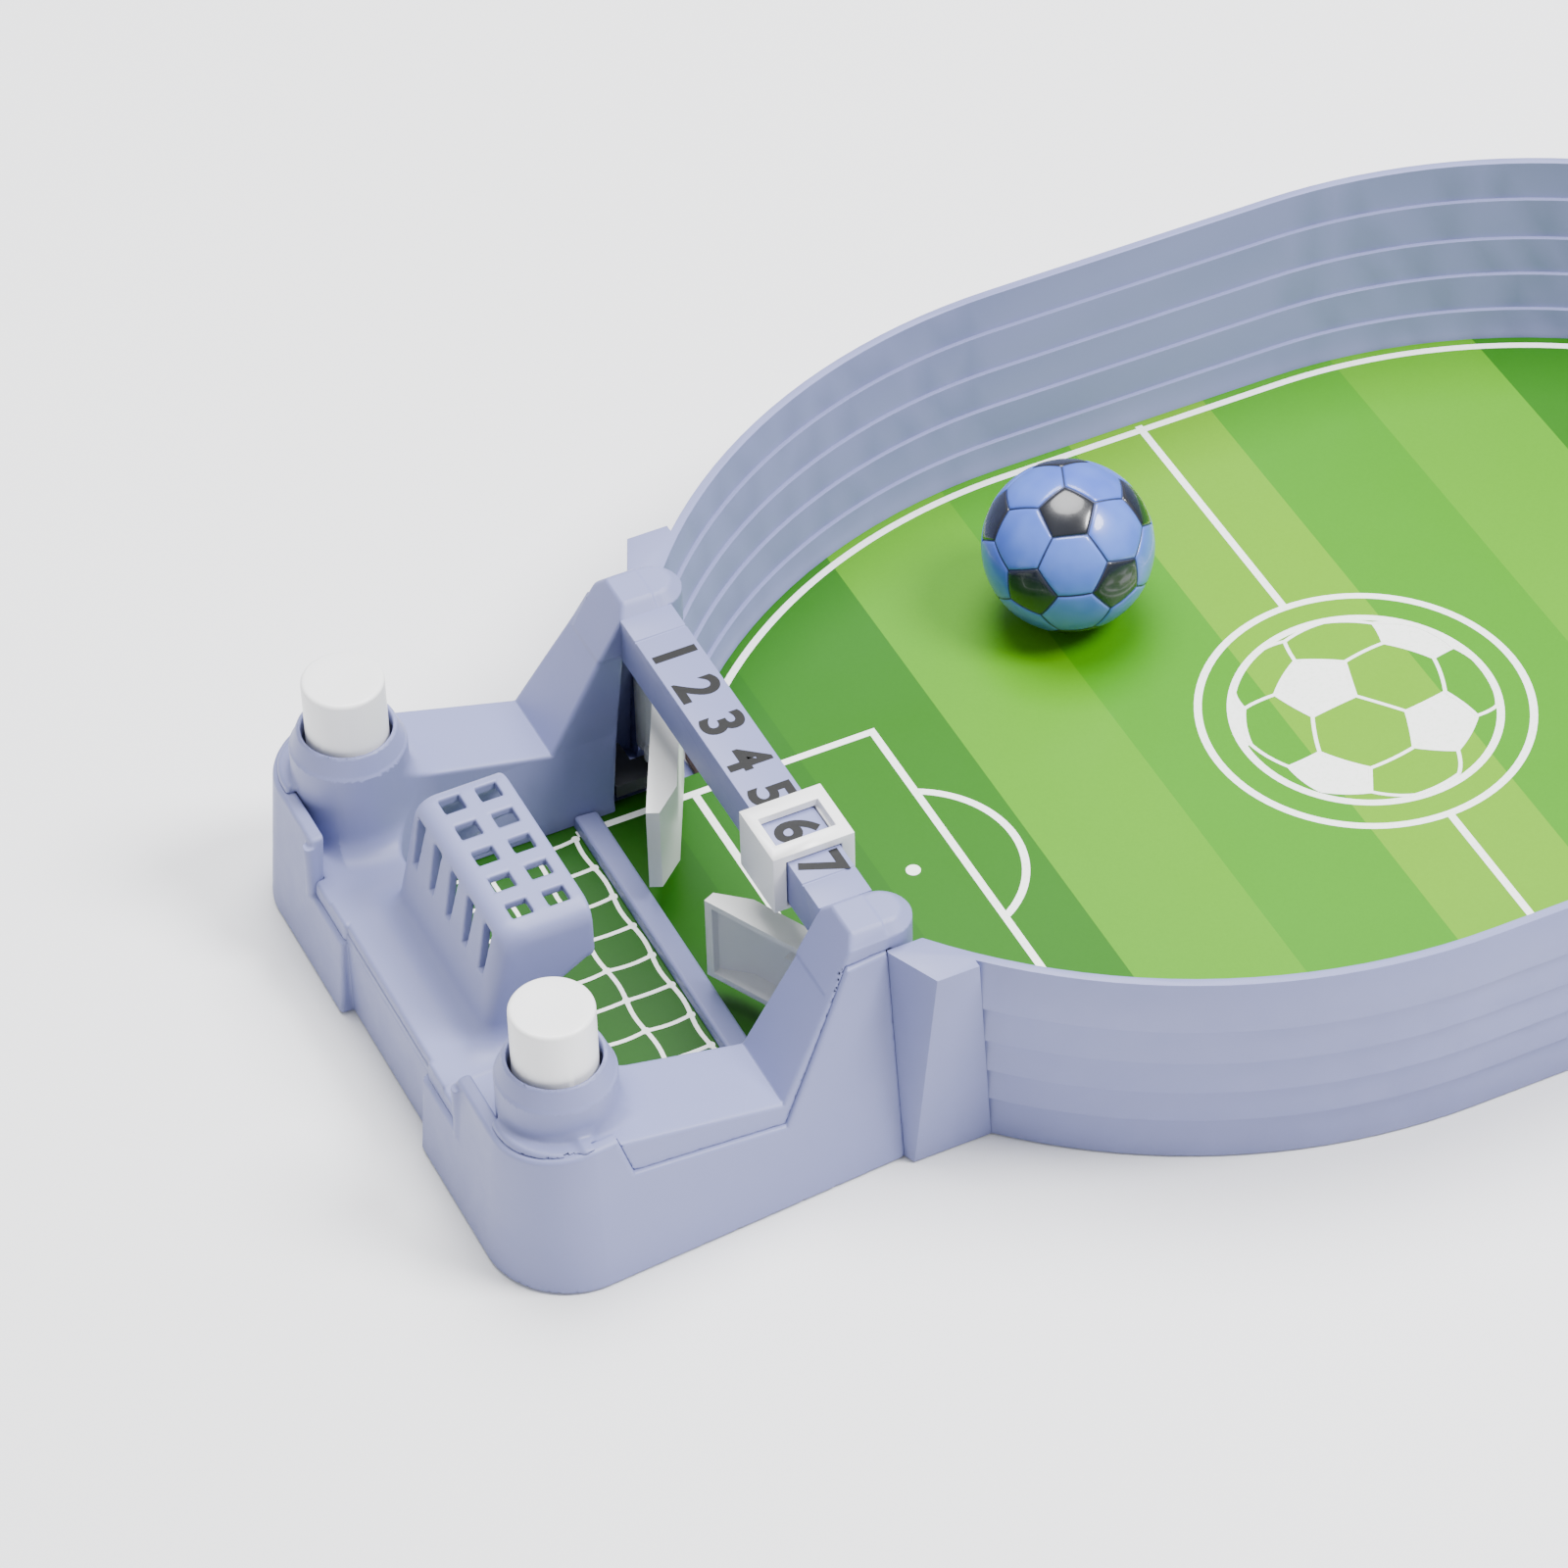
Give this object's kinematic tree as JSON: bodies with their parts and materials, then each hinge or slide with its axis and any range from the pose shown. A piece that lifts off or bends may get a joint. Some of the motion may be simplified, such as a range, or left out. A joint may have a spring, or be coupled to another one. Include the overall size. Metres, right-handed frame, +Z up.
{
  "type": "tabletop football game",
  "caption": "Oval tabletop football game: a printed pitch in stepped stand walls, with a goal module at each end whose buttons swing flippers.",
  "frame": {"origin": "centre of the footprint, on the table", "axes": "+X along the length towards the right goal, +Y across towards the far stand, +Z up"},
  "size_m": [0.43, 0.2074, 0.0575],
  "materials": {
    "lilac_plastic": "satin moulded ABS, lavender grey",
    "white_plastic": "gloss moulded ABS, white",
    "grey_nylon": "matt moulded nylon, dark grey",
    "turf_print": "printed laminated sheet, striped green with white lines",
    "board": "pressed fibreboard",
    "ball_vinyl": "moulded ball, pale blue with black panels",
    "steel": "plain steel wire, pins and screws",
    "feet_rubber": "matt black rubber"
  },
  "bodies": {
    "game": {"near_stand_wall": "lilac_plastic", "far_stand_wall": "lilac_plastic", "pitch_board": "board", "pitch_sheet": "turf_print", "rubber_feet": "feet_rubber", "left_base_shell": "lilac_plastic", "left_base_plate": "lilac_plastic", "left_near_housing": "lilac_plastic", "left_far_housing": "lilac_plastic", "left_goal_cage": "lilac_plastic", "left_goal_sill": "turf_print", "left_score_rail": "lilac_plastic", "left_near_spring": "steel", "left_far_spring": "steel", "left_flipper_pins": "steel", "left_screws": "steel", "right_base_shell": "lilac_plastic", "right_base_plate": "lilac_plastic", "right_near_housing": "lilac_plastic", "right_far_housing": "lilac_plastic", "right_goal_cage": "lilac_plastic", "right_goal_sill": "turf_print", "right_score_rail": "lilac_plastic", "right_near_spring": "steel", "right_far_spring": "steel", "right_flipper_pins": "steel", "right_screws": "steel"},
    "left_score_sleeve": {"left_score_sleeve": "white_plastic"},
    "left_near_button": {"left_near_button": "white_plastic"},
    "left_near_link": {"left_near_link": "grey_nylon"},
    "left_near_flipper": {"left_near_flipper": "white_plastic"},
    "left_far_button": {"left_far_button": "white_plastic"},
    "left_far_link": {"left_far_link": "grey_nylon"},
    "left_far_flipper": {"left_far_flipper": "white_plastic"},
    "right_score_sleeve": {"right_score_sleeve": "white_plastic"},
    "right_near_button": {"right_near_button": "white_plastic"},
    "right_near_link": {"right_near_link": "grey_nylon"},
    "right_near_flipper": {"right_near_flipper": "white_plastic"},
    "right_far_button": {"right_far_button": "white_plastic"},
    "right_far_link": {"right_far_link": "grey_nylon"},
    "right_far_flipper": {"right_far_flipper": "white_plastic"},
    "ball": {"ball": "ball_vinyl"}
  },
  "joints": [
    {"name": "left_near_press", "type": "slide", "parent": "game", "child": "left_near_button", "axis": [0, 0, -1], "range_m": [0, 0.008], "stiffness_N_per_m": 150, "springref_m": -0.006, "deforming": ["left_near_spring"]},
    {"name": "left_near_push", "type": "slide", "parent": "game", "child": "left_near_link", "axis": [1, 0, 0], "range_m": [0, 0.005]},
    {"name": "left_near_kick", "type": "hinge", "parent": "game", "child": "left_near_flipper", "pos_m": [-0.133, -0.0502, 0.022], "axis": [0, 0, -1], "range_deg": [0, 60]},
    {"name": "left_far_press", "type": "slide", "parent": "game", "child": "left_far_button", "axis": [0, 0, -1], "range_m": [0, 0.008], "stiffness_N_per_m": 150, "springref_m": -0.006, "deforming": ["left_far_spring"]},
    {"name": "left_far_push", "type": "slide", "parent": "game", "child": "left_far_link", "axis": [1, 0, 0], "range_m": [0, 0.005]},
    {"name": "left_far_kick", "type": "hinge", "parent": "game", "child": "left_far_flipper", "pos_m": [-0.133, 0.0502, 0.022], "axis": [0, 0, 1], "range_deg": [0, 60]},
    {"name": "left_score_slide", "type": "slide", "parent": "game", "child": "left_score_sleeve", "axis": [0, 1, 0], "range_m": [-0.0108, 0.054]},
    {"name": "right_near_press", "type": "slide", "parent": "game", "child": "right_near_button", "axis": [0, 0, -1], "range_m": [0, 0.008], "stiffness_N_per_m": 150, "springref_m": -0.006, "deforming": ["right_near_spring"]},
    {"name": "right_near_push", "type": "slide", "parent": "game", "child": "right_near_link", "axis": [-1, 0, 0], "range_m": [0, 0.005]},
    {"name": "right_near_kick", "type": "hinge", "parent": "game", "child": "right_near_flipper", "pos_m": [0.133, -0.0502, 0.022], "axis": [0, 0, 1], "range_deg": [0, 60]},
    {"name": "right_far_press", "type": "slide", "parent": "game", "child": "right_far_button", "axis": [0, 0, -1], "range_m": [0, 0.008], "stiffness_N_per_m": 150, "springref_m": -0.006, "deforming": ["right_far_spring"]},
    {"name": "right_far_push", "type": "slide", "parent": "game", "child": "right_far_link", "axis": [-1, 0, 0], "range_m": [0, 0.005]},
    {"name": "right_far_kick", "type": "hinge", "parent": "game", "child": "right_far_flipper", "pos_m": [0.133, 0.0502, 0.022], "axis": [0, 0, -1], "range_deg": [0, 60]},
    {"name": "right_score_slide", "type": "slide", "parent": "game", "child": "right_score_sleeve", "axis": [0, 1, 0], "range_m": [0, 0.0648]},
    {"name": "ball_travel", "type": "slide", "parent": "game", "child": "ball", "axis": [1, 0, 0], "range_m": [-0.05, 0.13]}
  ],
  "couplings": [
    {"joint": "left_near_push", "follows": "left_near_press", "ratio": 0.625},
    {"joint": "left_near_kick", "follows": "left_near_press", "rad_per_m": 130.89},
    {"joint": "left_far_push", "follows": "left_far_press", "ratio": 0.625},
    {"joint": "left_far_kick", "follows": "left_far_press", "rad_per_m": 130.89},
    {"joint": "right_near_push", "follows": "right_near_press", "ratio": 0.625},
    {"joint": "right_near_kick", "follows": "right_near_press", "rad_per_m": 130.89},
    {"joint": "right_far_push", "follows": "right_far_press", "ratio": 0.625},
    {"joint": "right_far_kick", "follows": "right_far_press", "rad_per_m": 130.89}
  ]
}
